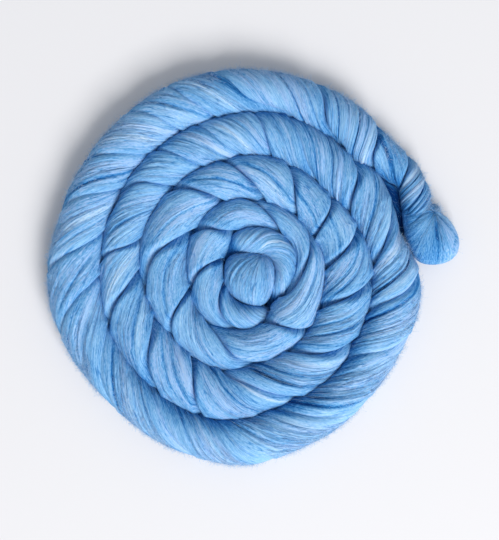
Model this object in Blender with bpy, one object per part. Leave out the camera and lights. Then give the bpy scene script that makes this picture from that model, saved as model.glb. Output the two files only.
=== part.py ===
"""Wool roving: one long hank, doubled, twisted on itself and coiled flat.

Metres, +Z up. The coil lies on the plane z = 0, and the origin is at the centre of its
box, at the bottom. The rope starts at the loop that sticks out on the +X side, winds
inward counter-clockwise seen from above, and ends in a rounded knob at the centre.
"""
from collections import namedtuple

import bpy
import numpy as np

MM = 0.001

# The coil's winding centre, measured from the origin
CENTRE_X = -7.3 * MM
CENTRE_Y = -2.0 * MM

SEAM_GAP = 1.0 * MM        # left between two turns that press on each other
FLAT_SINK = 0.07           # share of the height that is pressed flat underneath
GROOVE_DEPTH = 0.30        # how far the groove between the two plies cuts into the rope
GROOVE_SHARPNESS = 4       # higher is narrower

POINTS_AROUND = 16         # vertices of one section
SECTION_SPACING = 7.0 * MM     # along the rope
END_SPACING = 2.0 * MM         # along the rounded ends
END_LENGTH = 16.0 * MM         # how far the closer spacing reaches
TURN_STEP_DEG = 1.0            # step at which the turns are pressed together

WOOL_COLOUR = (0.144, 0.337, 0.638, 1.0)
WOOL_ROUGHNESS = 0.85

# The rope where it winds about the centre: its inner and outer edge, measured from the
# winding centre, and its height. The turn angle counts from +X and keeps on rising.
Winding = namedtuple("Winding", "turn_deg inner_mm outer_mm height_mm")
WINDINGS = (
    Winding(1.6, 130, 137, 9), Winding(2.5, 124, 144.5, 16), Winding(4, 121, 149, 21),
    Winding(6, 119, 152, 24.5), Winding(8.5, 117, 153, 26.5), Winding(12, 115, 151, 28),
    Winding(15.5, 115.5, 146.5, 26), Winding(19, 117, 140, 24), Winding(23, 119, 142, 24),
    Winding(28, 121, 142.5, 24), Winding(33, 118.5, 142, 24.5), Winding(38, 116, 139.5, 26),
    Winding(45, 110, 138, 28), Winding(54, 110, 140.5, 29), Winding(75, 112, 140.5, 29),
    Winding(105, 107, 140, 29), Winding(135, 103, 135.5, 29), Winding(165, 100, 134, 29),
    Winding(180, 98.5, 137, 29), Winding(195, 101, 136.5, 29), Winding(225, 103, 132, 29),
    Winding(255, 105.5, 135, 29), Winding(270, 104.5, 136.5, 29), Winding(285, 98, 132, 29),
    Winding(315, 96, 126, 29), Winding(330, 90.5, 124, 29), Winding(345, 91, 126, 29),
    Winding(360, 91.5, 124, 29), Winding(375, 87.5, 117, 29), Winding(405, 80, 109, 28.5),
    Winding(435, 81, 112, 29), Winding(465, 77.5, 107, 28.5), Winding(495, 75.5, 103, 28.5),
    Winding(525, 74, 100, 28.5), Winding(555, 70, 101, 29), Winding(585, 68, 103, 30),
    Winding(615, 70.5, 105.5, 30), Winding(645, 65, 97.5, 30), Winding(675, 62.5, 95, 30),
    Winding(705, 57.5, 91.5, 30), Winding(735, 56, 87.5, 29), Winding(765, 52.5, 80, 28.5),
    Winding(795, 49.5, 82, 29), Winding(825, 49.5, 77.5, 29), Winding(855, 45, 75.5, 29),
    Winding(885, 40.5, 74, 29), Winding(915, 38.5, 70, 29), Winding(945, 43.5, 68, 28.5),
    Winding(975, 42, 70.5, 28.5), Winding(1005, 38.5, 65, 28.5), Winding(1035, 31, 62.5, 28.5),
    Winding(1065, 33, 57.5, 28), Winding(1085, 35.5, 57.5, 27.5), Winding(1105, 37, 50.5, 26),
    Winding(1130, 35.5, 49, 24.5), Winding(1155, 31.5, 49, 26), Winding(1178, 28, 50.5, 27.5),
    Winding(1203, 18, 46, 28.5), Winding(1236, 16, 42, 28.5), Winding(1275, 17, 39, 28.5),
    Winding(1304, 20.5, 42, 28.5), Winding(1330, 24, 42.5, 27.5), Winding(1352, 25, 42, 26),
)

# The innermost stretch, where the rope turns up into the knob: its middle, measured from
# the winding centre, and its width and height.
Heart = namedtuple("Heart", "x_mm y_mm width_mm height_mm")
HEARTS = (
    Heart(7, -29.5, 13, 24), Heart(12.1, -25, 9.5, 22), Heart(14.8, -18, 19, 24),
    Heart(13.8, -13.5, 31, 28), Heart(12.5, -7, 40, 31), Heart(10.5, 1.5, 47, 32),
    Heart(10.7, 12, 40, 31), Heart(12.5, 19.5, 28, 25), Heart(13.5, 24, 12, 12.5),
)

# Turn angles at which the border between the two plies crosses the top of the rope
FOLDS_DEG = (
    14, 30, 42, 63, 91, 107, 119, 136, 154, 173, 190, 210, 229, 247, 265, 283, 298, 313, 330,
    350, 369, 397, 424, 441, 461, 479, 497, 530, 551, 580, 607, 637, 656, 673, 705, 731, 752,
    777, 808, 838, 884, 931, 979, 1026, 1092, 1142, 1202, 1257, 1318, 1380,
)


def clear_scene():
    for item in list(bpy.data.objects):
        bpy.data.objects.remove(item, do_unlink=True)


def through(knots, values, at):
    """A smooth curve through values at knots. Its slope at a knot is the mean of the two
    chords there, and never more than three times the flatter one, so it doesn't swing."""
    knots, values = np.asarray(knots, float), np.asarray(values, float)
    chord = np.diff(values) / np.diff(knots)
    before, after = np.r_[chord[0], chord], np.r_[chord, chord[-1]]
    limit = 3 * np.minimum(abs(before), abs(after)) * (before * after > 0)
    slope = np.clip((before + after) / 2, -limit, limit)
    i = np.clip(np.searchsorted(knots, at, side="right") - 1, 0, len(knots) - 2)
    step = knots[i + 1] - knots[i]
    t = (at - knots[i]) / step
    rise = values[i + 1] - values[i]
    return (values[i] + rise * t * t * (3 - 2 * t)
            + step * t * (1 - t) * (slope[i] * (1 - t) - slope[i + 1] * t))


def wound_turns():
    """Turn angle, inner edge, outer edge and height along the winding, with each turn
    pressed to one seam with the turn inside it."""
    turn, inner, outer, height = np.array(WINDINGS, float).T
    steps = round((turn[-1] - turn[0]) / TURN_STEP_DEG)
    at = turn[0] + TURN_STEP_DEG * np.arange(steps + 1)
    inner = through(turn, inner, at) * MM
    outer = through(turn, outer, at) * MM
    height = through(turn, height, at) * MM
    lap = round(360 / TURN_STEP_DEG)
    seam = (inner[:-lap] + outer[lap:]) / 2
    inner[:-lap] = np.maximum(inner[:-lap], seam + SEAM_GAP / 2)
    outer[lap:] = np.minimum(outer[lap:], seam - SEAM_GAP / 2)
    return at, inner, outer, height


def rope_line():
    """Middle, width, height and turn angle at points along the whole rope."""
    turn, inner, outer, height = wound_turns()
    angle = np.radians(turn)
    radius = (inner + outer) / 2
    x, y, width, tall = np.array(HEARTS, float).T * MM
    heart_turn = turn[-1] + np.arange(1, len(x) + 1) * 8
    return (np.r_[CENTRE_X + radius * np.cos(angle), CENTRE_X + x],
            np.r_[CENTRE_Y + radius * np.sin(angle), CENTRE_Y + y],
            np.r_[outer - inner, width],
            np.r_[height, tall],
            np.r_[turn, heart_turn])


def stations(length):
    """Distances along the rope, closer together near both ends."""
    fine = np.linspace(0, length, 4001)
    near_end = np.minimum(fine, length - fine) < END_LENGTH
    density = np.where(near_end, 1 / END_SPACING, 1 / SECTION_SPACING)
    count = np.r_[0, np.cumsum((density[1:] + density[:-1]) / 2 * np.diff(fine))]
    return np.interp(np.linspace(0, count[-1], round(count[-1]) + 1), count, fine)


def rope_sections():
    """Vertices of every section, as an array of stations by points around by xyz.

    A section is an oval whose radius shrinks in the two grooves between the plies. The
    grooves turn with the twist, half a turn from one fold to the next. The oval is then
    widened to the rope's edges, and what falls below the plane z = 0 is pressed flat."""
    x, y, width, height, turn = rope_line()
    along = np.r_[0, np.cumsum(np.hypot(np.diff(x), np.diff(y)))]
    at = stations(along[-1])
    x, y, width, height, turn = (through(along, v, at) for v in (x, y, width, height, turn))
    away_x, away_y = np.gradient(y, at), -np.gradient(x, at)
    size = np.hypot(away_x, away_y)
    away_x, away_y = away_x / size, away_y / size

    folds = np.array(FOLDS_DEG, float)
    twist = -np.pi * through(folds, np.arange(len(folds)), np.clip(turn, folds[0], folds[-1]))
    around = np.arange(POINTS_AROUND) * 2 * np.pi / POINTS_AROUND - np.pi / 2
    across, up = np.cos(around)[None], np.sin(around)[None]
    groove = GROOVE_DEPTH * abs(np.sin(around[None] - twist[:, None])) ** GROOVE_SHARPNESS
    reach = 1 - groove * np.clip(0.4 + up, 0, 1)
    across, up = across * reach, up * reach
    across = np.where(across > 0, across / across.max(axis=1, keepdims=True),
                      across / -across.min(axis=1, keepdims=True))

    side = across * width[:, None] / 2
    z = height[:, None] * ((1 + FLAT_SINK) * (up + 1) / 2 - FLAT_SINK)
    return np.stack([x[:, None] + side * away_x[:, None],
                     y[:, None] + side * away_y[:, None],
                     np.maximum(z, 0)], axis=2)


def closed_tube(name, sections):
    """A mesh through the sections, with a fan of triangles over each end."""
    rings, around = sections.shape[:2]
    i, j = np.meshgrid(np.arange(rings - 1) * around, np.arange(around), indexing="ij")
    k = (j + 1) % around
    quads = np.stack([i + j, i + j + around, i + k + around, i + k], axis=2).reshape(-1, 4)
    ends = sections[[0, -1]].mean(axis=1)
    verts = np.vstack([sections.reshape(-1, 3), ends])
    first, last = rings * around, rings * around + 1
    j = np.arange(around)
    k = (j + 1) % around
    top = (rings - 1) * around
    caps = np.vstack([np.stack([np.full(around, first), j, k], axis=1),
                      np.stack([np.full(around, last), top + k, top + j], axis=1)])
    mesh = bpy.data.meshes.new(name)
    mesh.from_pydata(verts.tolist(), [], quads.tolist() + caps.tolist())
    mesh.shade_smooth()
    return mesh


def wool():
    material = bpy.data.materials.new("wool")
    material.use_nodes = True
    shader = material.node_tree.nodes["Principled BSDF"]
    shader.inputs["Base Color"].default_value = WOOL_COLOUR
    shader.inputs["Roughness"].default_value = WOOL_ROUGHNESS
    shader.inputs["Metallic"].default_value = 0.0
    return material


def roving_coil():
    """The whole hank: both ends, every turn and the two-ply twist in one solid."""
    mesh = closed_tube("roving_coil", rope_sections())
    mesh.materials.append(wool())
    return bpy.data.objects.new("roving_coil", mesh)


clear_scene()
hank = bpy.data.collections.new("wool_roving")
bpy.context.scene.collection.children.link(hank)
hank.objects.link(roving_coil())
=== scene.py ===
"""Looks of the wool roving: two plies of combed wool twisted into a soft rope, coiled flat.

Metres, +Z up. The rope starts at the loop end on the +X side, winds inward counter-clockwise
seen from above, and ends in a rounded knob at the centre.
"""
from collections import namedtuple

import bpy
import numpy as np
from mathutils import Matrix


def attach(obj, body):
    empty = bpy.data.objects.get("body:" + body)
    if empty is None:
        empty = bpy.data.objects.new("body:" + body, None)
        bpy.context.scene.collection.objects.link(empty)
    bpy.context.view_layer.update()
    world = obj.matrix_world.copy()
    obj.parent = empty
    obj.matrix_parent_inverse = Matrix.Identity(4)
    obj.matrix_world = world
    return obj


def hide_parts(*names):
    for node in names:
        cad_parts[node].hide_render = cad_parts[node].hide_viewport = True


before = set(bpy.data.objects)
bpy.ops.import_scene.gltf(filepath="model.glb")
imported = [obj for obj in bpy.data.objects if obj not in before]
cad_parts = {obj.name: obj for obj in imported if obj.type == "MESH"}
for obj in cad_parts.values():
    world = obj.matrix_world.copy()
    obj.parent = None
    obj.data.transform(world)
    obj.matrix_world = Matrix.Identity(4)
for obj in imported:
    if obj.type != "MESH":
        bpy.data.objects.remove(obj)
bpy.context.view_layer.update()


# ------------------------------------------------------------
# The two plies. They are the two halves of one long combed roving, laid side by side and
# twisted on each other. Each is a soft strand of parallel wool, half a round rope in
# section, and its fibres run in long locks that follow the twist.
# ------------------------------------------------------------
MM = 0.001
CENTRE_X = -7.3 * MM           # the coil's winding centre
CENTRE_Y = -2.0 * MM
SEAM_PRESS = 1.2 * MM          # how far two turns that touch press into each other
SEAM_REACH = 6 * MM            # turns closer than this touch
LOOSE_END_DEG = (27, 42)       # where the loose end comes to lie against the first turn
FLAT_SINK = 0.07               # share of the height that is pressed flat underneath

# Inner and outer edge of the rope, from the winding centre, and its height. The turn angle
# counts from +X and keeps on rising as the rope winds inward.
Winding = namedtuple("Winding", "turn_deg inner_mm outer_mm height_mm")
WINDINGS = [Winding(*row) for row in (
    (6, 127, 133, 5), (8, 123, 137, 10), (11, 120.5, 139, 15), (14, 119.5, 139.5, 19),
    (17, 118.5, 139.5, 23), (19, 118.5, 140, 24.5), (23, 120, 142, 24.5),
    (28, 122.5, 142.7, 24.5), (32, 119.5, 142.2, 25), (38, 115.5, 139.5, 26), (45, 110, 138, 28),
    (54, 110, 140.5, 29), (75, 112, 140.5, 29), (105, 107, 140, 29), (135, 103, 135.5, 29),
    (165, 100, 134, 29), (180, 98.5, 137, 29), (195, 101, 136.5, 29), (225, 103, 132, 29),
    (255, 105.5, 135, 29), (270, 104.5, 136.5, 29), (285, 98, 132, 29), (315, 96, 126, 29),
    (330, 90.5, 124, 29), (345, 91, 126, 29), (360, 91.5, 123, 29), (366, 90, 118.5, 29),
    (374, 88, 113, 29), (382, 86, 114.5, 29), (389, 84, 115.3, 29), (394, 83, 115, 29),
    (400, 81.5, 113, 28.5), (405, 80, 109.5, 28.5), (435, 81, 112, 29), (465, 77.5, 107, 28.5),
    (495, 75.5, 103, 28.5), (525, 74, 100, 28.5), (555, 70, 101, 29), (585, 68, 103, 30),
    (615, 70.5, 105.5, 30), (645, 65, 97.5, 30), (675, 62.5, 95, 30), (705, 57.5, 91.5, 30),
    (735, 56, 87.5, 29), (765, 52.5, 80, 28.5), (795, 49.5, 82, 29), (825, 49.5, 77.5, 29),
    (855, 45, 75.5, 29), (885, 40.5, 74, 29), (915, 38.5, 70, 29), (945, 43.5, 68, 28.5),
    (975, 42, 70.5, 28.5), (1005, 38.5, 65, 28.5), (1035, 31, 62.5, 28.5), (1065, 33, 57.5, 28),
    (1085, 35.5, 57.5, 27.5), (1105, 37, 53.5, 26), (1130, 33.5, 52.5, 25.5),
    (1155, 29.5, 51, 26.5), (1178, 26.5, 50.5, 27.5), (1203, 18, 46, 28.5), (1236, 15, 42, 28.5),
    (1275, 13.5, 39, 28), (1304, 15, 42, 27.5), (1330, 20, 42.5, 27), (1352, 23, 42, 26),
    (1367, 25, 41, 24), (1377, 27, 40, 17), (1385, 30, 37, 7),
)]

# Where the border between the plies crosses the top of the rope, and over how many degrees
# it runs from the inner edge to the outer. Then for the lobe that follows: how far its fibres
# lean from the rope's run, and how pale it is. Last, how deep the groove at the border is.
Fold = namedtuple("Fold", "turn_deg span_deg lean_deg paleness depth")
FOLDS = [Fold(*row) for row in (
    (12.5, 11, 66, -1, 0.9), (22.5, 6, 72, -0.5, 0.5), (30.5, 5, 34, -1.8, 1),
    (42.5, 5, 62, 0.5, 1), (63, 6, 50, 0.5, 1), (91, 14, 42, -0.3, 0.3), (107, 15, 42, 0.4, 0.4),
    (119, 12, 46, 0.8, 0.3), (137, 15, 45, 0.6, 0.3), (153, 13, 46, 1, 0.3),
    (173, 14, 36, -0.3, 0.4), (190, 17, 34, 0, 0.5), (213, 22, 38, 0, 0.2),
    (243, 20, 50, 1.1, 0.3), (268, 16, 38, 2.2, 0.3), (296, 26, 36, 1.8, 0.5),
    (328, 14, 50, 1.4, 0.3), (350, 13, 50, 0.3, 0.7), (371.2, 14, 42, 0.3, 1),
    (397, 11, 50, -0.5, 1), (425, 17, 52, -1, 0.3), (441, 8, 46, 0.5, 0.7), (461, 14, 46, 0, 0.2),
    (479, 15, 42, 0, 0.5), (497, 13, 42, 0, 0.7), (530, 9, 35, 1, 0.8), (551, 15, 36, -0.5, 1),
    (580, 16, 38, 0.3, 1), (607, 10, 45, 0, 1), (638, 25, 42, 0.5, 0.8), (673, 22, 48, 0.3, 1),
    (705, 17, 38, 0.5, 1), (731, 15, 15, 0.5, 1), (752, 11, 15, -0.5, 1), (777, 15, 25, 0.5, 1),
    (808, 22, 28, -0.5, 1), (838, 20, 20, 0.5, 1), (884, 29, 20, -0.5, 1), (931, 16, 38, 0.5, 1),
    (979, 23, 12, 0, 1), (1026, 18, 10, 0.8, 1), (1092, 38, 8, -0.5, 1), (1142, 34, 8, 0, 1),
    (1202, 30, 13, 0.8, 1), (1257, 36, 27, 0.3, 1), (1318, 40, 56, 0, 1), (1450, 60, 56, 0, 1),
)]
BORDER_TWIST = 0.78            # half turns of twist from a border's inner end to its outer

# How strong the painted shade is at the seam with the next turn, on the rope's inner and
# its outer side: 1 is a plain seam. The gap beside the loose end holds one of the deepest.
SeamShade = namedtuple("SeamShade", "turn_deg inner outer")
SEAM_SHADE = [SeamShade(*row) for row in (
    (6, 1.6, 0), (20, 2.4, 0), (32, 2.4, 0), (40, 1, 0), (215, 1, 0), (245, 3.2, 0),
    (335, 3.2, 0), (352, 1.6, 0), (358, 1.6, 0), (366, 1.2, 0.3), (386, 1, 0.8), (402, 1, 1),
    (1150, 1, 1), (1220, 2, 1),
)]

# Single locks that stand out: where one crosses the rope (0 is the top, 1 the outer edge),
# half its length and width, how deep it is sunk, and how much paler or deeper it is
Lock = namedtuple("Lock", "turn_deg shift length_mm width_mm sink_mm paleness")
LOCKS = [Lock(*row) for row in (
    (18.6, 0, 10, 2.4, 0.6, -3.4), (19.8, 0, 10, 7, 0, -1.6), (20, 0, 10, 1.8, 1, -5),
    (22, 0, 10, 1.6, 1.2, -6), (25, 0, 10, 8, 0, 7), (27.2, 0.1, 9, 1.6, 1.4, -8),
    (29, 0.2, 10, 6, 0, 9), (36, 0, 16, 1.4, 1.2, -6), (38.5, -0.35, 12, 3.5, 0, 3.5),
    (39, 0.2, 14, 0.9, 0.9, -3.2), (41.8, -0.85, 1.8, 1.8, -1, 15), (44.8, 0, 16, 4.2, 0, 5),
    (43.4, 0, 14, 1, 0, 5), (46.6, 0, 12, 0.9, 0.8, -5), (51, 0.3, 14, 1.5, 2.1, -6.5),
    (57.5, 0, 22, 1.1, 1.7, -6.5), (68, 0, 18, 1, 1.4, -4.3), (74, 0, 24, 1.1, 2.1, -6.5),
    (81, -0.3, 16, 2.4, 0, 3.4), (94, 0.3, 18, 3.2, 1.8, -4.8), (100, 0.1, 20, 2.2, 0, 7),
    (112, 0, 20, 1.2, 1.4, -4.3), (123, -0.2, 20, 2.5, 0, 5.8), (131, 0.2, 15, 2.2, 0, 7),
    (140, 0.5, 15, 2.5, 1.5, -4.8), (147, 0, 22, 1.2, 1.7, -6.5), (161, -0.1, 18, 2.7, 0, 5.8),
    (167, 0, 18, 1.1, 1, -4.3), (183, 0, 20, 1.2, 1.4, -4.3), (200, -0.2, 24, 3.3, 0, 2.9),
    (206, 0.3, 18, 2.5, 1.5, -4), (219, 0, 24, 1.5, 2.1, -6.5), (226, 0, 22, 2.9, 0, 2.9),
    (233, -0.2, 18, 1.2, 1.1, -4.3), (252, 0.2, 18, 1.6, 1.6, -5.4), (258, 0, 22, 1.9, 0, 4.6),
    (276, 0, 20, 1.2, 1.4, -4.3), (284, 0.4, 14, 2.2, 1.4, -4.8), (289, 0, 22, 3.3, 0, 2.9),
    (302, 0, 24, 1.6, 2.1, -7.6), (307, 0, 22, 1.4, 1.4, -5.4), (317, 0.5, 13, 2.5, 1.5, -4),
    (336, 0, 20, 1.4, 0, 3.4), (345, 0, 22, 1.6, 2.3, -7.6), (354, 0, 20, 2, 0, 5.2),
    (358, 0.1, 20, 1.6, 2.4, -8.6), (365.5, 0, 24, 3.7, 0, 6.9), (378, 0.6, 10, 5, 0, 4),
    (384, 0, 24, 1.4, 1.6, -6.5), (408, -0.1, 20, 1.2, 1.4, -5.4), (418, 0, 18, 1.1, 1, -4.3),
    (447, 0, 16, 1, 1, -4.3), (454, 0, 18, 1.9, 0, 6.9), (466, 0, 20, 2.8, 0, 6.9),
    (515, -0.2, 14, 1.1, 1.1, -4.3), (541, 0, 24, 4.4, 0, 4.6), (563, -0.3, 20, 1.2, 1.4, -4.3),
    (571, 0, 20, 2.4, 0, 4), (590, 0, 22, 1.2, 1.4, -4.3), (597, 0, 20, 1.1, 1.1, -4.3),
    (603, 0, 20, 2.2, 0, 4), (624, 0, 24, 1.1, 1.6, -6.5), (634.5, 0, 26, 1.2, -0.4, 11.5),
    (643, -0.4, 14, 3.1, 0.9, -6.4), (648, 0, 20, 1.5, 2.3, -7.6), (656, 0, 24, 2.5, 1.5, -5.6),
    (664, 0, 24, 2.4, 0, 4.6), (685, 0, 16, 1.4, 1.7, -6.5), (692, 0, 22, 1, 1, -4.3),
    (713, 0, 24, 1.1, 1.4, -5.4), (719, 0, 22, 1, 1, -4.3), (742, 0, 24, 1.2, 1.1, -5.4),
    (765, -0.2, 22, 1.2, 1.1, -5.4), (790, 0, 26, 1.2, 1.4, -5.4), (797, -0.1, 26, 2.2, 0, 3.4),
    (822, 0, 26, 1.1, 1.1, -4.3), (858, -0.1, 30, 1.2, 1, -4.3), (905, 0, 26, 1.2, 1.1, -4.3),
    (955, 0, 26, 1.2, 1.1, -4.3), (1058, -0.1, 30, 4, 0, 2.2), (1070, 0.3, 26, 1.2, 1, -4.3),
)]

STATIONS = 1400                # sections along the rope
POINTS_AROUND = 100            # points around one ply
PLY_CENTRE = 0.46              # from the rope's middle, as a share of the rope's radius
PLY_WALL = -0.08               # where a ply is pressed flat on the other one
SHALLOW_WALL = -0.62           # the same where the groove is at its shallowest
PLY_ROUNDING = 2.1             # of the ply's two long edges, higher is squarer


def through(knots, values, at, slope=None):
    """A smooth curve through values at knots. Its slope at a knot, unless one is given, is
    the mean of the two chords there. It is never more than three times the flatter chord,
    so the curve doesn't swing."""
    knots, values = np.asarray(knots, float), np.asarray(values, float)
    chord = np.diff(values) / np.diff(knots)
    before, after = np.r_[chord[0], chord], np.r_[chord, chord[-1]]
    limit = 3 * np.minimum(abs(before), abs(after)) * (before * after > 0)
    slope = np.clip((before + after) / 2 if slope is None else slope, -limit, limit)
    i = np.clip(np.searchsorted(knots, at, side="right") - 1, 0, len(knots) - 2)
    step = knots[i + 1] - knots[i]
    t = (at - knots[i]) / step
    rise = values[i + 1] - values[i]
    return (values[i] + rise * t * t * (3 - 2 * t)
            + step * t * (1 - t) * (slope[i] * (1 - t) - slope[i + 1] * t))


def smooth_step(low, high, value):
    """0 below low, 1 above high, and the cubic 3t^2 - 2t^3 between them."""
    t = np.clip((value - low) / (high - low), 0, 1)
    return t * t * (3 - 2 * t)


def way_along(x, y):
    """Distance along a line from its first point to each of its points."""
    return np.r_[0, np.cumsum(np.hypot(np.diff(x), np.diff(y)))]


def wound_turns():
    """Turn angle, inner edge, outer edge and height at every degree of the winding. No turn
    reaches past the seam with the next one, halfway between the two. Further in than the
    loop end, two turns that touch are drawn to the seam and pressed a little past it."""
    turn, inner, outer, height = np.array(WINDINGS, float).T
    at = turn[0] + np.arange(round(turn[-1] - turn[0]) + 1)
    inner = through(turn, inner, at) * MM
    outer = through(turn, outer, at) * MM
    height = through(turn, height, at) * MM
    seam = (inner[:-360] + outer[360:]) / 2
    inner[:-360] = np.maximum(inner[:-360], seam)
    outer[360:] = np.minimum(outer[360:], seam)
    touch = 1 - smooth_step(SEAM_REACH, 1.5 * SEAM_REACH, inner[:-360] - outer[360:])
    touch = touch * smooth_step(*LOOSE_END_DEG, at[:-360])
    inner[:-360] += touch * (seam - SEAM_PRESS - inner[:-360])
    outer[360:] += touch * (seam + SEAM_PRESS - outer[360:])
    return at, inner, outer, height


def rope_line(count):
    """The rope at evenly spaced stations: distance along, x, y, the outward direction in
    plan, half width, height and turn angle."""
    turn, inner, outer, height = wound_turns()
    angle, radius = np.radians(turn), (inner + outer) / 2
    x = CENTRE_X + radius * np.cos(angle)
    y = CENTRE_Y + radius * np.sin(angle)
    along = way_along(x, y)
    at = np.linspace(0, along[-1], count)
    radius, half, height, turn = (through(along, v, at)
                                  for v in (radius, (outer - inner) / 2, height, turn))
    away_x, away_y = np.cos(np.radians(turn)), np.sin(np.radians(turn))
    return (at, CENTRE_X + radius * away_x, CENTRE_Y + radius * away_y, away_x, away_y,
            half, height, turn)


def twist_of(turn):
    """Half turns of twist at a turn angle: a whole number where a fold crosses the top."""
    folds, span = np.array([(fold.turn_deg, fold.span_deg) for fold in FOLDS], float).T
    turn = np.clip(turn, folds[0], folds[-1])
    return through(folds, np.arange(len(folds)), turn, BORDER_TWIST / span)


def ply_outline(theta, wall):
    """Distance from the ply's own middle to its surface, for a rope of radius one. It is the
    smaller of the way to the rope's circle and the way to the other ply, rounded off."""
    to_circle = -PLY_CENTRE * np.cos(theta) + np.sqrt(1 - (PLY_CENTRE * np.sin(theta)) ** 2)
    to_wall = np.maximum(-np.cos(theta), 0) / (PLY_CENTRE - wall)
    return (to_circle ** -PLY_ROUNDING + to_wall ** PLY_ROUNDING) ** (-1 / PLY_ROUNDING)


def angle_round_ply(way):
    """Section angle after a way along the ply's outline, both from its outermost point. The
    outline's whole length counts as one."""
    theta = np.linspace(0, 2 * np.pi, 721)
    reach = ply_outline(theta, PLY_WALL)
    length = way_along(reach * np.cos(theta), reach * np.sin(theta))
    turns = np.floor(way)
    return np.interp(way - turns, length / length[-1], theta) + 2 * np.pi * turns, length[-1]


def creep(at, turn, half, twist, parity):
    """How far a ply's fibres have crept round it, as a share of its outline. A fibre that
    kept its place would lean by the angle whose tangent is radius times twist rate. The
    creep is what brings that to the lean of the ply's own lobes."""
    folds, leans = np.array([(fold.turn_deg, fold.lean_deg) for fold in FOLDS], float).T
    own = slice(1 - parity, -1, 2)
    knots = ((folds[:-1] + folds[1:]) / 2)[1 - parity::2]
    lean = np.radians(leans[own])
    wanted = np.tan(through(knots, lean, np.clip(turn, knots[0], knots[-1])))
    change = (half * np.gradient(np.pi * twist, at) - wanted) / (half * angle_round_ply(0.0)[1])
    return np.cumsum(change) * at[1]


def combed(rows, columns, length, width, seed):
    """Random hills, drawn out along the rows: white noise smoothed by a Gaussian, so that its
    zero lines are about width columns apart. It joins up with itself at every edge."""
    sigma = np.array([length, width]) / (np.pi * np.sqrt(2))
    noise = np.random.default_rng(seed).standard_normal((rows, columns))
    along = np.fft.fftfreq(rows)[:, None] * sigma[0]
    across = np.fft.rfftfreq(columns)[None] * sigma[1]
    smooth = np.fft.rfft2(noise) * np.exp(-2 * np.pi ** 2 * (along ** 2 + across ** 2))
    hills = np.fft.irfft2(smooth, s=(rows, columns))
    return hills / hills.std()


def unit(vectors):
    """Vectors drawn to a length of one, but for those of no length."""
    return vectors / np.maximum(np.linalg.norm(vectors, axis=-1, keepdims=True), 1e-12)


def facing(points):
    """Unit normals of a grid of points that closes on itself across the columns."""
    down = np.gradient(points, axis=0)
    over = (np.roll(points, -1, axis=1) - np.roll(points, 1, axis=1)) / 2
    return unit(np.cross(down, over))


def wool_mesh(name, points, quads, triangles, grain, tone):
    """A smooth mesh of four-sided and then three-sided faces, with grain and tone at its
    points for the material to read."""
    corners = np.concatenate([quads.ravel(), triangles.ravel()])
    sides = np.r_[np.full(len(quads), 4), np.full(len(triangles), 3)]
    mesh = bpy.data.meshes.new(name)
    mesh.vertices.add(len(points))
    mesh.vertices.foreach_set("co", points.ravel())
    mesh.loops.add(len(corners))
    mesh.loops.foreach_set("vertex_index", corners.astype(np.int32))
    mesh.polygons.add(len(sides))
    mesh.polygons.foreach_set("loop_start", np.r_[0, np.cumsum(sides)[:-1]].astype(np.int32))
    mesh.update(calc_edges=True)
    mesh.validate()
    mesh.shade_smooth()
    mesh.attributes.new("grain", "FLOAT_VECTOR", "POINT").data.foreach_set("vector", grain.ravel())
    mesh.attributes.new("tone", "FLOAT", "POINT").data.foreach_set("value", tone.ravel())
    return mesh


def tube_mesh(name, points, grain, tone):
    """A closed tube through a grid of points, one row a section, with a fan over each end.
    The middle of each end takes the mean of its section's values."""
    rows, columns = points.shape[:2]
    i, j = np.meshgrid(np.arange(rows - 1) * columns, np.arange(columns), indexing="ij")
    k = (j + 1) % columns
    quads = np.stack([i + j, i + j + columns, i + columns + k, i + k], axis=2).reshape(-1, 4)
    first, last, j = rows * columns, rows * columns + 1, np.arange(columns)
    k, top = (j + 1) % columns, (rows - 1) * columns
    fans = np.vstack([np.stack([np.full(columns, first), j, k], axis=1),
                      np.stack([np.full(columns, last), top + k, top + j], axis=1)])
    points, grain, tone = (np.concatenate([values.reshape(rows * columns, -1),
                                           values[[0, -1]].mean(axis=1).reshape(2, -1)])
                           for values in (points, grain, tone))
    return wool_mesh(name, points, quads, fans, grain, tone)


def dyed(red, green, blue):
    """A colour from its screen values, 0 to 255, as the light it sends back."""
    part = np.array([red, green, blue]) / 255
    light = np.where(part > 0.04045, ((part + 0.055) / 1.055) ** 2.4, part / 12.92)
    return (*light.tolist(), 1.0)


def node(tree, kind, *terms, how=None, **inputs):
    """Adds a node. Terms go to its inputs in order, and each named value to the input of that
    name. A value that is a socket is linked, and any other is set on the input."""
    made = tree.nodes.new("ShaderNode" + kind)
    if how:
        made.operation = how
    named = [(made.inputs[name.replace("_", " ")], value) for name, value in inputs.items()]
    for socket, value in [*zip(made.inputs, terms), *named]:
        if isinstance(value, bpy.types.NodeSocket):
            tree.links.new(value, socket)
        else:
            socket.default_value = value
    return made


def arithmetic(tree, how, *terms):
    """The outcome of one sum on numbers and sockets."""
    return node(tree, "Math", *terms, how=how).outputs[0]


def attribute(tree, name, output):
    """What the mesh holds under a name."""
    made = node(tree, "Attribute")
    made.attribute_name = name
    return made.outputs[output]


def streaks(tree, grain, length_mm, width_mm, detail, roughness=0.55):
    """Noise drawn out along the fibres: length_mm and width_mm are the size of one streak."""
    stretched = node(tree, "Mapping", Vector=grain,
                     Scale=(1 / (length_mm * MM), 1 / (width_mm * MM), 1 / (width_mm * MM)))
    return node(tree, "TexNoise", Vector=stretched.outputs["Vector"], Scale=1.0,
                Detail=detail, Roughness=roughness).outputs["Fac"]


def ramp(tree, factor, *stops):
    """A colour ramp from (place, colour) stops."""
    made = node(tree, "ValToRGB", Fac=factor)
    elements = made.color_ramp.elements
    elements[0].position, elements[0].color = stops[0]
    elements[1].position, elements[1].color = stops[-1]
    for place, colour in stops[1:-1]:
        elements.new(place).color = colour
    return made.outputs["Color"]


WAVER = 2.2 * MM               # the widest a fibre strays to the sides


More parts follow.
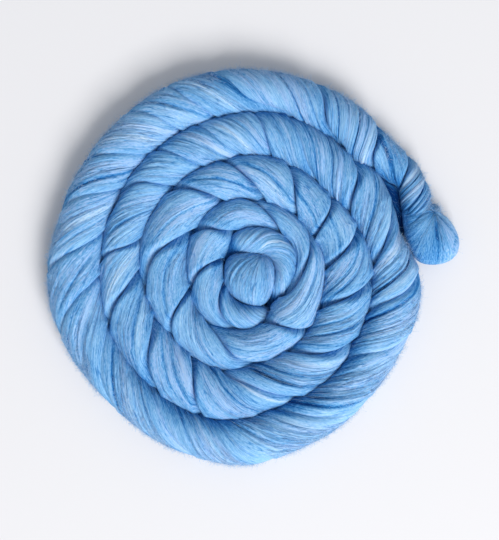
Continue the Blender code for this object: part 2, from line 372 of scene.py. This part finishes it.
def combed_wool():
    """Dyed combed wool: blue that runs from deep to pale and a little lavender in streaks
    along the fibres, with fine fibres as bump and a soft sheen."""
    material = bpy.data.materials.new("combed_wool")
    material.use_nodes = True
    tree = material.node_tree
    shader = tree.nodes["Principled BSDF"]
    grain = attribute(tree, "grain", "Vector")
    # The mesh's tone holds the wool's own paler and deeper parts and its painted shade
    tone = attribute(tree, "tone", "Fac")

    # Fibres waver a little, so the streaks do too
    stretched = node(tree, "Mapping", Vector=grain, Scale=(45, 160, 160)).outputs["Vector"]
    waver = node(tree, "TexNoise", Vector=stretched, Scale=1.0, Detail=2.0).outputs["Color"]
    waver = node(tree, "VectorMath", waver, (0.5, 0.5, 0.5), how="SUBTRACT").outputs["Vector"]
    waver = node(tree, "VectorMath", waver, (0, WAVER, WAVER), how="MULTIPLY").outputs["Vector"]
    grain = node(tree, "VectorMath", grain, waver).outputs["Vector"]

    broad = streaks(tree, grain, 80, 6, 2)
    middle = streaks(tree, grain, 30, 2.0, 3)
    fine = streaks(tree, grain, 11, 0.62, 3)
    nap = streaks(tree, grain, 1.8, 0.8, 1)
    mixed = 0.04
    for part, share in ((broad, 0.21), (middle, 0.15), (fine, 0.37), (nap, 0.33), (tone, 0.035)):
        mixed = arithmetic(tree, "MULTIPLY_ADD", part, share, mixed)
    blue = ramp(tree, mixed,
                (0.20, dyed(0, 56, 120)), (0.37, dyed(48, 121, 184)), (0.50, dyed(107, 164, 213)),
                (0.65, dyed(144, 190, 229)), (0.87, dyed(192, 217, 241)))
    tint = arithmetic(tree, "MULTIPLY", streaks(tree, grain, 130, 11, 1),
                      ramp(tree, mixed, (0.40, (0, 0, 0, 1)), (0.58, (1, 1, 1, 1))))
    lavender = ramp(tree, tint, (0.44, (0, 0, 0, 1)), (0.62, (0.5, 0.5, 0.5, 1)))
    faded = node(tree, "MixRGB", Fac=lavender, Color1=blue, Color2=dyed(160, 187, 230))
    # Thin dark lines between fibres run where a drawn-out noise crosses its middle
    colour = faded.outputs["Color"]
    for length_mm, width_mm, reach, shade in ((45, 3.4, 0.019, (0.28, 0.54, 0.74, 1)),
                                              (16, 1.6, 0.022, (0.60, 0.78, 0.88, 1))):
        off = arithmetic(tree, "SUBTRACT", streaks(tree, grain, length_mm, width_mm, 1), 0.5)
        line = ramp(tree, arithmetic(tree, "ABSOLUTE", off), (0, shade), (reach, (1, 1, 1, 1)))
        mixer = node(tree, "MixRGB", Fac=1.0, Color1=colour, Color2=line)
        mixer.blend_type = "MULTIPLY"
        colour = mixer.outputs["Color"]
    tree.links.new(colour, shader.inputs["Base Color"])

    hair = streaks(tree, grain, 7, 0.5, 2)
    strand = streaks(tree, grain, 20, 1.1, 1)
    relief = arithmetic(tree, "MULTIPLY_ADD", strand, 0.8, hair)
    relief = arithmetic(tree, "MULTIPLY_ADD", nap, 0.5, relief)
    bump = node(tree, "Bump", Strength=0.8, Distance=0.35 * MM, Height=relief)
    tree.links.new(bump.outputs["Normal"], shader.inputs["Normal"])
    for name, value in (("Roughness", 0.75), ("Specular IOR Level", 0.06), ("Sheen Weight", 0.12),
                        ("Sheen Roughness", 0.5), ("Sheen Tint", dyed(160, 205, 250)),
                        ("Subsurface Weight", 0.15), ("Subsurface Radius", (0.5, 0.8, 1.2)),
                        ("Subsurface Scale", 1.2 * MM)):
        shader.inputs[name].default_value = value
    return material


def placed(name, data):
    """A new object in the scene, made of a mesh, a lamp or a lens."""
    made = bpy.data.objects.new(name, data)
    bpy.context.scene.collection.objects.link(made)
    return made


def wool_piece(name, mesh):
    """Adds a wool piece, which stands for the plain solid and rides with the whole hank."""
    mesh.materials.append(rope_wool)
    piece = placed(name, mesh)
    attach(piece, "root")
    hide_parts("roving_coil")


def lifted(points, relief):
    """A grid moved outward by its relief, in mm, and kept from going below the table."""
    points = points + facing(points) * (relief * MM)[:, :, None]
    points[:, :, 2] = np.maximum(points[:, :, 2], 0)
    return points


def grain_of(run, radius, fibre, shape):
    """Where the material reads its streaks: the way along a fibre, and the fibre's place on
    a circle, so that the streaks join up round the piece."""
    return np.stack([np.broadcast_to(part, shape)
                     for part in (run, radius * np.cos(fibre), radius * np.sin(fibre))], axis=2)


def toward_shaded_side(points):
    """How far a grid's surface faces the side painted in shade, away from the lamp: 1 fully, -1
    away.
    """
    side = (np.cos(np.radians(FLANK_SHADE_DEG)), np.sin(np.radians(FLANK_SHADE_DEG)))
    return (facing(points)[:, :, :2] * side).sum(axis=2)


def stand_out(turn, at, half, column, grids, shares):
    """Relief and tone of the single locks, for both plies. A lock follows the fibre that is
    on top at its place, and fades as exp(-x^2) to the sides and exp(-y^4) to both ends."""
    sink = [np.zeros(theta.shape) for _, theta, _ in grids]
    tint = [np.zeros(theta.shape) for _, theta, _ in grids]
    for lock in LOCKS:
        row = int(np.searchsorted(turn, lock.turn_deg))
        score = [points[row, :, 2] - 3 * abs(share[row] - lock.shift) * half[row]
                 for (points, _, _), share in zip(grids, shares)]
        parity = int(score[1].max() > score[0].max())
        offset = (np.arange(POINTS_AROUND) - np.argmax(score[parity])) % POINTS_AROUND
        offset = np.minimum(offset, POINTS_AROUND - offset) * column
        fade = (np.exp(-(offset / (lock.width_mm * MM)) ** 2)[None]
                * np.exp(-((at - at[row]) / (lock.length_mm * MM)) ** 4)[:, None])
        sink[parity] += lock.sink_mm * fade
        tint[parity] += lock.paleness * fade
    return sink, tint


def plies():
    """Both plies as grids of points, section angles and tones, one row a station.

    A ply's middle goes round the rope's middle as the twist grows. Its section is the ply's
    outline, turned with the twist, widened to the rope's edges, and pressed flat on z = 0.
    Grid columns follow the fibres: each has its own place round the ply plus the creep."""
    at, x, y, away_x, away_y, half, height, turn = rope_line(STATIONS)
    twist = twist_of(turn)
    depth = through(np.arange(len(FOLDS)), [fold.depth for fold in FOLDS], twist)
    wall = (SHALLOW_WALL + (PLY_WALL - SHALLOW_WALL) * depth)[:, None]
    made = []
    for parity in (0, 1):
        crept = creep(at, turn, half, twist, parity)[:, None]
        theta, _ = angle_round_ply(FIBRES[None] + crept)
        reach = ply_outline(theta, wall)
        lean = (-np.pi * twist + np.pi * parity)[:, None]
        out, side = PLY_CENTRE + reach * np.cos(theta), reach * np.sin(theta)
        across = out * np.cos(lean) - side * np.sin(lean)
        up = out * np.sin(lean) + side * np.cos(lean)
        made.append((theta, across, up))
    both = np.hstack([across for _, across, _ in made])
    outmost, inmost = both.max(axis=1)[:, None], both.min(axis=1)[:, None]
    known, *seams = np.array(SEAM_SHADE, float).T
    inner_seam, outer_seam = (np.interp(turn, known, seam)[:, None] for seam in seams)
    past_loose = (turn > LOOSE_END_DEG[1])[:, None]
    grids, shares = [], []
    for parity, (theta, across, up) in enumerate(made):
        share = np.where(across > 0, across / outmost, across / -inmost)
        shares.append(share)
        across = share * half[:, None]
        z = height[:, None] * ((1 + FLAT_SINK) * (up + 1) / 2 - FLAT_SINK)
        points = np.stack([x[:, None] + across * away_x[:, None],
                           y[:, None] + across * away_y[:, None], z], axis=2)
        # Ply 0 is on top after every odd fold and ply 1 after every even one
        lobes = np.arange(1 - parity, len(FOLDS), 2)
        tone = np.interp(twist, lobes + 0.5, [FOLDS[lobe].paleness for lobe in lobes])
        # Painted shade at a seam: the deeper it is, the further it reaches up the side. A seam's
        # core gets deeper painted shade still, except along the loose end
        seam_shade = SEAM_SHADE_CORE * smooth_step(0.8, 1.0, abs(share)) * past_loose
        for side, seam in ((-1, inner_seam), (1, outer_seam)):
            seam_shade += seam * smooth_step(0.55 - 0.2 * seam, 1.0, side * share)
        tone = tone[:, None] - SEAM_SHADE_DEPTH * seam_shade
        # Painted shade in the groove where the plies press on each other, deeper where the groove
        # is deep
        tone = tone - GROOVE_SHADE_DEPTH * turned_away(theta) * (0.3 + 0.7 * depth[:, None])
        grids.append((points, theta, tone))
    return at, turn, twist, half, grids, shares


def turned_away(theta):
    """0 on the outer half of a ply and 1 where it is pressed on the other one."""
    return smooth_step(0.7, 1.9, abs((theta + np.pi) % (2 * np.pi) - np.pi))


# A wool surface as a grid of points: how far each faces outward (below 0 is hidden), which
# rows lie on the hank's outline, and how many strands, lying hairs and outline hairs it has
Surface = namedtuple("Surface", "name points shows rim strands hairs fuzz")
surfaces = []


def keep_surface(name, points, shows, rim, **counts):
    """Keeps a wool surface for the loose fibres, which are laid on it at the end."""
    shows = np.broadcast_to(shows, points.shape[:2])
    surfaces.append(Surface(name, points, shows, np.full(len(points), rim), **counts))


def ply_noise(length_mm, width_mm, seed):
    """Combed hills on a ply's grid."""
    return combed(STATIONS, POINTS_AROUND, length_mm * MM / spacing, width_mm * MM / column, seed)


FIBRES = np.arange(POINTS_AROUND) / POINTS_AROUND
LOCK_TOP = 1.6                           # a lock's noise rises no higher than this
SEAM_SHADE_DEPTH = 1.8                         # how much painted shade darkens a seam
SEAM_SHADE_CORE = 0.5                          # and how much more at its core, as a share
GROOVE_SHADE_DEPTH = 1.8                         # the same, painted shade in the groove between the plies
FLANK_SHADE = 1.5                            # and on flanks turned away from the lamp, also painted shade
FLANK_SHADE_DEG = 118
PLY_SHARE = 0.72                         # radius of a ply, as a share of the rope's
SMOOTHER_DEG = (400, 750)                # where the turns grow smoother on the way inward
OUTLINE_DEG = 372                        # the turns up to here make the hank's outline
NEXT_PLY = 5.0                           # grain distance between the plies, so they differ
END_TAPER = 6 * MM                       # the relief dies down over this at both ends

at, turn, twist, half, grids, shares = plies()
rope_wool = combed_wool()
spacing = at[1]
ply_radius = half.mean() * PLY_SHARE
column = 2 * np.pi * ply_radius / POINTS_AROUND
rope_tone = ply_noise(120, 9, 5)
sink, tint = stand_out(turn, at, half, column, grids, shares)
calm = (1 - 0.4 * smooth_step(*SMOOTHER_DEG, turn))[:, None]
taper = smooth_step(0, END_TAPER, np.minimum(at, at[-1] - at))[:, None]
for parity, (points, theta, tone) in enumerate(grids):
    # Rounded locks with wisps in them, parted by thin creases
    locks = ply_noise(70, 5, 11 + parity)
    wisps = ply_noise(40, 1.9, 21 + parity)
    creases = ply_noise(60, 6.5, 31 + parity)
    relief = 0.5 * np.minimum(abs(locks), LOCK_TOP) + 0.3 * np.minimum(abs(wisps), 2) - 0.65
    relief = (relief - 1.0 * np.exp(-(creases / 0.13) ** 2)) * calm - sink[parity]
    # Tone follows the relief, as painted shade in creases, and flanks turned from the lamp get
    # painted shade
    tone = tone + 0.6 * (relief + 0.2) + 0.9 * tint[parity] - FLANK_SHADE * toward_shaded_side(points)
    tone = tone + 0.4 * np.roll(rope_tone, parity * POINTS_AROUND // 2, axis=1)
    relief = relief * (1 - 0.7 * turned_away(theta))
    points = lifted(points, relief * taper)
    grain = grain_of(at[:, None] + parity * NEXT_PLY, ply_radius, 2 * np.pi * FIBRES, theta.shape)
    # The ply is cut in two where it lies under the other one, to keep the meshes small
    underneath = abs((twist - parity) % 2 - 0.5) + abs(at / at[-1] - 0.5) * 20
    cut = int(np.argmin(underneath))
    for half_name, run in (("outer", slice(0, cut + 1)), ("inner", slice(cut, None))):
        name = f"ply_{parity + 1}_{half_name}"
        wool_piece(name, tube_mesh(name, points[run], grain[run], tone[run]))
    keep_surface(f"{parity + 1}", points, np.cos(theta), turn < OUTLINE_DEG,
                 strands=900, hairs=2300, fuzz=10500)


# ------------------------------------------------------------
# The loop end: the bend in the middle of the roving, where the hank was doubled. Twist pinches
# it at its neck, so its fibres fan out from there to the rounded edge and tuck in underneath,
# with a crease down the middle. The two plies start inside it.
# ------------------------------------------------------------
# A cushion is drawn by how far its edge is from the pinch (mm) in each direction (degrees).
# Its fibres bend, by gather_deg at most, towards the direction far_deg.
Cushion = namedtuple("Cushion", "pinch_mm middle_mm height_mm waist_mm rounding gather_deg "
                                "far_deg reaches")
LOOP_END = Cushion(
    pinch_mm=(126.8, 40.0), middle_mm=(124.3, 21.1), height_mm=27.5,
    waist_mm=12, rounding=2.2, gather_deg=0, far_deg=0,
    reaches=(
        (0, 4.2), (45, 4), (90, 4.2), (135, 7), (155, 11), (170, 18), (182, 22.5), (195, 23.2),
        (212, 25.3), (233.7, 31.3), (247.2, 36), (254.6, 38), (264.3, 38.5), (274.7, 38.4),
        (285.7, 37.3), (294.6, 35.4), (302.4, 32), (310.6, 26.4), (320.5, 17.7), (334.2, 7.4),
        (345, 5),
    ))
LOOP_CREASE = np.radians(272)    # direction of the crease from the pinch
ARC_RUN = 22 * MM                # fibre to a radian of the way over a cushion


def around_from(reaches, angle):
    """Reach at angles in radians, read smoothly round a closed table of reaches."""
    known, reach = np.array(reaches, float).T
    known = np.r_[known - 360, known, known + 360]
    return through(known, np.tile(reach, 3), np.degrees(angle) % 360) * MM


def cushion_grid(made, rows, columns):
    """A cushion as a grid, one column a fibre, from the pinch over the edge to underneath.

    In plan a fibre goes out from the pinch to the edge and back, and bends towards the far
    side. The height at a place depends on how far out it is from the cushion's middle, as a
    share q of the way to the edge: (1 - q^n)^(1/n) of the full rise."""
    pinch_x, pinch_y = np.array(made.pinch_mm) * MM
    middle_x, middle_y = np.array(made.middle_mm) * MM
    waist, top = made.waist_mm * MM, made.height_mm * MM
    run = np.linspace(0, np.pi, rows + 2)[1:-1, None]
    fibre = np.arange(columns)[None] * 2 * np.pi / columns
    out = np.sin(run)
    gather = np.radians(made.gather_deg) * np.sin(np.radians(made.far_deg) - fibre)
    angle = fibre + gather * out ** 2
    reach = around_from(made.reaches, angle)
    x, y = pinch_x + reach * out * np.cos(angle), pinch_y + reach * out * np.sin(angle)
    edge_angle = np.linspace(0, 2 * np.pi, 721)
    edge_reach = around_from(made.reaches, edge_angle)
    edge_x = pinch_x + edge_reach * np.cos(edge_angle) - middle_x
    edge_y = pinch_y + edge_reach * np.sin(edge_angle) - middle_y
    bearing = np.arctan2(edge_y, edge_x) % (2 * np.pi)
    order = np.argsort(bearing)
    place = np.arctan2(y - middle_y, x - middle_x) % (2 * np.pi)
    to_edge = np.interp(place, bearing[order], np.hypot(edge_x, edge_y)[order], period=2 * np.pi)
    q = np.clip(np.hypot(x - middle_x, y - middle_y) / to_edge, 0, 1)
    rise = (1 - q ** made.rounding) ** (1 / made.rounding)
    z = np.where(run < np.pi / 2, waist + (top - waist) * rise, waist * (1 - rise))
    return np.stack([x, y, z], axis=2), out, reach * out, fibre, run


def fan_relief(rows, columns, out, seed):
    """Locks, wisps and creases that run out from the pinch, calmer near it and at the edge."""
    locks = combed(rows, columns, 90, 7, seed)
    wisps = combed(rows, columns, 60, 2.4, seed + 1)
    creases = combed(rows, columns, 80, 12, seed + 2)
    relief = 0.5 * np.minimum(abs(locks), LOCK_TOP) + 0.35 * abs(wisps) - 0.7
    relief = (relief - 1.2 * np.exp(-(creases / 0.12) ** 2)) * out ** 0.7
    return relief * (1 - 0.75 * smooth_step(0.8, 1.0, out))


def grid_piece(name, points, relief, tone, run, fibre, radius):
    """Lifts a grid by its relief and makes it a wool piece. Gives the lifted points."""
    points = lifted(points, relief)
    shape = points.shape[:2]
    grain = grain_of(run, radius, fibre, shape)
    wool_piece(name, tube_mesh(name, points, grain, np.broadcast_to(tone, shape)))
    return points


def loop_end():
    """The fan with its crease, whose depth fades with the square of the distance from it."""
    rows, columns = 90, 150
    points, out, distance, fibre, run = cushion_grid(LOOP_END, rows, columns)
    relief = fan_relief(rows, columns, out, 61)
    # A thin crease in a wide valley, both only on top
    beside = distance * abs((fibre - LOOP_CREASE + np.pi) % (2 * np.pi) - np.pi) / MM
    on_top = 1 - smooth_step(1.3, 1.7, run)
    crease = np.exp(-(beside / 1.1) ** 2) * smooth_step(2, 10, distance / MM) * on_top
    crease *= 1 - 0.7 * smooth_step(14, 32, distance / MM)
    valley = np.exp(-(beside / 6) ** 2) * on_top
    relief = relief - 1.3 * crease - 2.2 * valley * (1 - 0.6 * out)
    # Painted shade in the crease, where the fibres tuck underneath, in sunk places and on flanks
    # turned from the lamp
    tone = -0.5 + 2.0 * relief - 2.4 * crease - 1.5 * smooth_step(1.35, 1.7, run)
    aside = np.sin(fibre - LOOP_CREASE)
    tone = tone + 2.4 * aside - 2.2 * smooth_step(12, 34, distance / MM) * (1 - 0.8 * aside)
    tone = tone + 0.8 * (1 - smooth_step(6, 22, distance / MM))
    tone = tone - FLANK_SHADE * toward_shaded_side(points)
    points = grid_piece("loop_end", points, relief, tone, 8.0 + run * ARC_RUN, fibre, 34 * MM)
    keep_surface("loop_end", points, np.cos(run), True, strands=150, hairs=150, fuzz=350)


# Wool that lies deep in the gap between the loose end and the turn inside it, coloured
# as painted shade: its middle line, width and height
Bend = namedtuple("Bend", "x_mm y_mm width_mm height_mm")
SHADED_GAP_WOOL = [Bend(*row) for row in (
    (111.8, 7.5, 2, 2), (107.6, 16.2, 5, 4), (104.8, 26.1, 8, 6), (103.1, 38.1, 9, 8),
    (101.5, 46.5, 10, 9), (98.6, 54, 10, 9), (94.6, 59.8, 9, 8), (90, 64.5, 8, 7), (85, 69, 5, 5),
)]
STRAND_GRAIN = 11 * MM           # radius of the circle that a strand's grain goes round


def lay_strand(bends, rows, columns, angle_per_mm):
    """An oval section carried along a middle line, as a grid whose columns are fibres that
    go round it by a steady angle a millimetre. Gives points, section angle, fibre angle,
    distance along and relief, which dies down at both ends."""
    x, y, width, height = np.array(bends, float).T * MM
    along = way_along(x, y)
    at = np.linspace(0, along[-1], rows)
    x, y, width, height = (through(along, v, at)[:, None] for v in (x, y, width, height))
    away_x, away_y = np.gradient(y[:, 0], at), -np.gradient(x[:, 0], at)
    away_x, away_y = (v[:, None] / np.hypot(away_x, away_y)[:, None] for v in (away_x, away_y))
    fibre = np.arange(columns)[None] * 2 * np.pi / columns
    angle = fibre + angle_per_mm / MM * at[:, None]
    across = np.cos(angle) * width / 2
    z = height * (0.5 + 0.5 * np.sin(angle))
    points = np.stack([x + across * away_x, y + across * away_y, z], axis=2)
    locks = combed(rows, columns, 70, 8, columns)
    wisps = combed(rows, columns, 50, 3, columns + 1)
    ends = np.sin(np.linspace(0, np.pi, rows))[:, None] ** 0.3
    relief = (0.5 * np.minimum(abs(locks), LOCK_TOP) + 0.3 * abs(wisps) - 0.5) * ends
    return points, angle, fibre, at[:, None], relief


def shaded_gap_wool():
    """The wool in the gap, coloured as deep as the ramp goes, as painted shade."""
    points, angle, fibre, at, relief = lay_strand(SHADED_GAP_WOOL, 100, 40, 0.1)
    tone = -11 + 5 * relief
    points = grid_piece("shaded_gap_wool", points, relief, tone, 17.0 + at, fibre, STRAND_GRAIN)
    keep_surface("shaded_gap_wool", points, np.sin(angle), False, strands=0, hairs=120, fuzz=0)


loop_end()
shaded_gap_wool()


# ------------------------------------------------------------
# The knob: the last of the hank, turned up at the centre. Its fibres spread from a pinch
# on top, over a rounded cushion of wool, and tuck in underneath. A band of the same wool
# lies round its right side and ends under the innermost turn.
# ------------------------------------------------------------
KNOB = Cushion(
    pinch_mm=(6.0, 8.8), middle_mm=(-2.4, -9.7), height_mm=30,
    waist_mm=11, rounding=2.3, gather_deg=45, far_deg=262,
    reaches=(
        (0, 3.4), (30, 2.2), (90, 1.8), (150, 5), (172, 15), (181, 22.4), (191.5, 26.4),
        (204, 30), (215, 33.4), (224, 35), (234, 35.8), (245, 36.6), (257, 37), (268, 36),
        (276, 33.4), (284, 28.5), (295.5, 23), (307.5, 17.2), (323.5, 11.3), (346, 5.2),
    ))


def knob():
    """The cushion of wool with its fan of fibres."""
    rows, columns = 100, 150
    points, out, _, fibre, run = cushion_grid(KNOB, rows, columns)
    relief = fan_relief(rows, columns, out, 41)
    # Painted shade where the fibres tuck underneath, in sunk places and on flanks turned from the
    # lamp
    tone = -0.9 + 1.0 * relief - 3.0 * smooth_step(1.0, 1.6, run)
    tone = tone - FLANK_SHADE * toward_shaded_side(points)
    points = grid_piece("knob", points, relief, tone, 11.0 + run * ARC_RUN, fibre, 22 * MM)
    keep_surface("knob", points, np.cos(run), False, strands=120, hairs=200, fuzz=0)


BAND = [Bend(*row) for row in (
    (11.5, -32, 6, 6), (12.5, -25, 7, 9), (14.8, -20.5, 9, 15), (17.4, -15.5, 12, 21),
    (20.7, -8.3, 13.5, 26), (22.5, -0.6, 15, 28), (21.4, 7.3, 17.5, 28.5), (15.8, 14.4, 18.5, 29),
    (8.1, 18.4, 19.5, 29), (-1, 18.8, 19.5, 28.5), (-9.4, 17.4, 17, 25), (-16, 13, 13, 17),
    (-20, 6, 11, 12), (-20, -2, 8, 8),
)]
BAND_STREAK = 2.85               # the fibre that shows palest, as its angle round the band


def band():
    """The band round the knob's side, with one pale streak along it. Both its ends lie deep
    under other wool and get painted shade, and so does one side of it along its length."""
    points, angle, fibre, at, relief = lay_strand(BAND, 130, 80, 0.09)
    pale = np.exp(-((fibre - BAND_STREAK) / 0.08) ** 2 - ((at - 54 * MM) / (8 * MM)) ** 4)
    # Painted shade at both ends, along one side and in sunk places
    ends = 1 - smooth_step(8 * MM, 17 * MM, at) + smooth_step(76 * MM, 85 * MM, at)
    tone = -0.3 + 11 * pale + 0.8 * relief - 2 * smooth_step(0.2, 1.0, np.cos(angle)) - 8 * ends
    grid_piece("band", points, relief, tone, 14.0 + at, fibre, STRAND_GRAIN)


knob()
band()


# ------------------------------------------------------------
# Loose fibres. Fine strands of wool lie on the plies where combing left them, each a little
# paler or deeper than its neighbours, and single hairs stand off the rope as a soft halo.
# ------------------------------------------------------------
NEARLY_UP = (0.13, 0.21, 1.0)      # no fibre runs just this way
STRAND_POINTS = 8
STRAND_RADIUS = 0.15 * MM
STRAND_REACH = (12 * MM, 34 * MM)  # shortest and longest half length
STRAND_LIFT = (0.05 * MM, 0.35 * MM)
HAIR_ROOT = 0.3 * MM               # how deep a hair starts, and how near it comes to the table
# Shortest and longest, how far a hair rises over its run, how pale it is, and how many
# points it has. The outline's hairs are many in one, so they are thick and pale.
Hair = namedtuple("Hair", "shortest_mm longest_mm flattest steepest radius_mm paleness points")
LYING = Hair(2, 6, 0.02, 0.35, 0.07, -0.5, 3)
FUZZ = Hair(0.6, 3.2, 0.3, 1.3, 0.2, 6, 2)


def on_grid(grid, row, column):
    """Values of a grid at fractional rows and columns, read in a straight line between its
    points. Columns close on themselves."""
    rows, columns = grid.shape[:2]
    i = np.clip(np.floor(row).astype(int), 0, rows - 2)
    j = np.floor(column).astype(int)
    down, over = (row - i)[..., None], (column - j)[..., None]
    j, k = j % columns, (j + 1) % columns
    return ((grid[i, j] * (1 - over) + grid[i, k] * over) * (1 - down)
            + (grid[i + 1, j] * (1 - over) + grid[i + 1, k] * over) * down)


def fine_tubes(paths, radius):
    """Three-sided tubes along many paths at once, tapered to a point at both ends.

    At each point of a path the corners stand round it, a third of a turn apart, in the
    plane square to the path. Returns the points and faces of all of them."""
    count, length = paths.shape[:2]
    run = unit(np.gradient(paths, axis=1))
    side = unit(np.cross(run, NEARLY_UP))
    up = np.cross(side, run)
    width = np.sin(np.linspace(0.12, np.pi - 0.12, length)) ** 0.6
    corner = np.arange(3) * 2 * np.pi / 3 + np.pi / 2
    width = (radius[:, None] * width)[:, :, None, None]
    ring = (paths[:, :, None] + width * (np.cos(corner)[:, None] * side[:, :, None]
                                         + np.sin(corner)[:, None] * up[:, :, None]))
    first = np.arange(count)[:, None] * length * 3
    i = first[:, :, None] + np.arange(length - 1)[None, :, None] * 3
    j = np.arange(3)
    k = (j + 1) % 3
    quads = np.stack([i + j, i + k, i + 3 + k, i + 3 + j], axis=3)
    last = first + (length - 1) * 3
    ends = np.vstack([first + (0, 2, 1), last + (0, 1, 2)])
    return ring.reshape(-1, 3), quads.reshape(-1, 4), ends


def fibre_piece(name, paths, radius, tone, grain_start):
    """Many fibres as one mesh. The grain runs on along each fibre."""
    points, quads, ends = fine_tubes(paths, radius)
    count, length = paths.shape[:2]
    step = np.linalg.norm(np.diff(paths, axis=1), axis=2)
    run = np.concatenate([np.zeros((count, 1)), np.cumsum(step, axis=1)], axis=1)
    grain = grain_start[:, None] + np.stack([run, 0 * run, 0 * run], axis=2)
    grain = np.repeat(grain.reshape(-1, 3), 3, axis=0)
    wool_piece(name, wool_mesh(name, points, quads, ends, grain, np.repeat(tone, length * 3)))


def chosen(candidates, keep, count):
    """The first of the candidates that are to be kept."""
    return [values[keep][:count] for values in candidates]


def strands(dice, surface, normal):
    """Strands follow the grid's columns with a slow drift, lifted off the surface in the
    middle and sunk into it at both ends: the rise falls as t^4 from the middle."""
    rows, columns = surface.points.shape[:2]
    tries = surface.strands * 8
    spacing = np.linalg.norm(np.diff(surface.points, axis=0), axis=2).mean()
    row = dice.uniform(0.02, 0.98, tries) * rows
    reach = dice.uniform(*STRAND_REACH, tries) / spacing
    column = dice.uniform(0, columns, tries)
    drift = dice.normal(0, 1.2, (tries, 2))
    lift = dice.uniform(*STRAND_LIFT, tries)
    t = np.linspace(-1, 1, STRAND_POINTS)
    row = np.clip(row[:, None] + reach[:, None] * t, 1, rows - 2.001)
    column = column[:, None] + drift[:, :1] * t + drift[:, 1:] * (t * t - 0.5)
    height = on_grid(surface.points, row, column)[:, :, 2]
    shows = on_grid(surface.shows[:, :, None], row, column)[:, :, 0]
    keep = (shows > 0.1).all(axis=1) & (height > 5 * MM).all(axis=1)
    row, column, lift = chosen((row, column, lift), keep, surface.strands)
    rise = lift[:, None] * (1 - t ** 4) - 0.25 * MM * t ** 6
    paths = on_grid(surface.points, row, column) + on_grid(normal, row, column) * rise[:, :, None]
    count = len(paths)
    radius = STRAND_RADIUS * dice.uniform(0.5, 1.3, count)
    tone = dice.normal(-0.3, 2.0, count)
    start = dice.uniform(20, 60, (count, 3))
    fibre_piece(f"strands_{surface.name}", paths, radius, tone, start)


def hairs(dice, surface, normal, count, off_rim):
    """Hairs start on the surface, lean along the fibres, and curl with the square of the way.
    They lie nearly flat, or stand off the hank's outline as short fuzz."""
    rows, columns = surface.points.shape[:2]
    row = dice.uniform(1, rows - 2, count * 20)
    column = dice.uniform(0, columns, count * 20)
    root = on_grid(surface.points, row, column)
    outward = on_grid(normal, row, column)
    shows = on_grid(surface.shows[:, :, None], row, column)[:, 0]
    run = on_grid(np.gradient(surface.points, axis=0), row, column)
    radial = unit(root[:, :2] - (CENTRE_X, CENTRE_Y))
    sideways = (radial * outward[:, :2]).sum(axis=1)
    keep = (shows > 0) & (root[:, 2] > 4 * MM)
    keep &= (sideways > 0.5) & surface.rim[row.astype(int)] if off_rim else outward[:, 2] > 0.2
    root, outward, run = chosen((root, outward, run), keep, count)
    count = len(root)
    run = unit(run) * np.where(dice.random(count) < 0.5, 1, -1)[:, None]
    kind = FUZZ if off_rim else LYING
    length = dice.uniform(kind.shortest_mm, kind.longest_mm, count) * MM
    lean = dice.uniform(kind.flattest, kind.steepest, count)[:, None]
    curl = dice.normal(0, 0.3, (count, 3))[:, None]
    t = np.linspace(0, 1, kind.points)[None, :, None]
    paths = root[:, None] - HAIR_ROOT * outward[:, None] + length[:, None, None] * (
        (run + outward * lean)[:, None] * t + curl * t * t)
    paths[:, :, 2] = np.maximum(paths[:, :, 2], HAIR_ROOT)
    radius = kind.radius_mm * MM * dice.uniform(0.6, 1.2, count)
    tone = kind.paleness + dice.normal(0, 1, count)
    start = dice.uniform(20, 60, (count, 3))
    fibre_piece(f"{'fuzz' if off_rim else 'hairs'}_{surface.name}", paths, radius, tone, start)


dice = np.random.default_rng(77)
for surface in surfaces:
    normal = facing(surface.points)
    if surface.strands:
        strands(dice, surface, normal)
    hairs(dice, surface, normal, surface.hairs, False)
    if surface.fuzz:
        hairs(dice, surface, normal, surface.fuzz, True)


# ------------------------------------------------------------
# The table, the light and the camera, which looks straight down. One large lamp stands for
# a window on the right, under an even sky.
# ------------------------------------------------------------
CAMERA_HEIGHT = 1.1
ROPE_MIDDLE = 14 * MM              # height of the plane that the frame is measured on
FRAME_HEIGHT = 0.378               # what the camera sees there, top to bottom
SENSOR = 36.0                      # the camera's, in mm


def tabletop():
    """A pale floor, wide enough to fill every view."""
    edge = 8
    mesh = bpy.data.meshes.new("tabletop")
    corners = [(-edge, -edge, 0), (edge, -edge, 0), (edge, edge, 0), (-edge, edge, 0)]
    mesh.from_pydata(corners, [], [(0, 1, 2, 3)])
    material = bpy.data.materials.new("tabletop")
    material.use_nodes = True
    shader = material.node_tree.nodes["Principled BSDF"]
    shader.inputs["Base Color"].default_value = dyed(222, 222, 225)
    shader.inputs["Roughness"].default_value = 0.8
    mesh.materials.append(material)
    floor = placed("tabletop", mesh)


def window():
    """A square lamp, turned to face the middle of the hank."""
    lamp = bpy.data.lights.new("window", "AREA")
    lamp.size = 2.5
    lamp.energy = 264
    lamp.color = (1.0, 0.98, 0.96)
    x, y, z = 1.6, -3.04, 3.44
    made = placed("window", lamp)
    made.location = (x, y, z)
    made.rotation_euler = (np.arctan2(np.hypot(x, y), z), 0, np.arctan2(x, -y))


def daylight():
    """An even pale sky."""
    world = bpy.data.worlds.new("daylight")
    bpy.context.scene.world = world
    world.use_nodes = True
    sky = world.node_tree.nodes["Background"]
    sky.inputs["Color"].default_value = (0.93, 0.96, 1.0, 1.0)
    sky.inputs["Strength"].default_value = 0.51


def camera():
    """Straight above the frame's middle, with the long side of the frame upright."""
    lens = bpy.data.cameras.new("camera")
    lens.sensor_width = SENSOR
    lens.lens = SENSOR * (CAMERA_HEIGHT - ROPE_MIDDLE) / FRAME_HEIGHT
    lens.clip_end = 20
    made = placed("camera", lens)
    made.location = (-2.75 * MM, -2.0 * MM, CAMERA_HEIGHT)
    bpy.context.scene.camera = made


tabletop()
daylight()
window()
camera()
bpy.context.scene.view_settings.view_transform = "Standard"
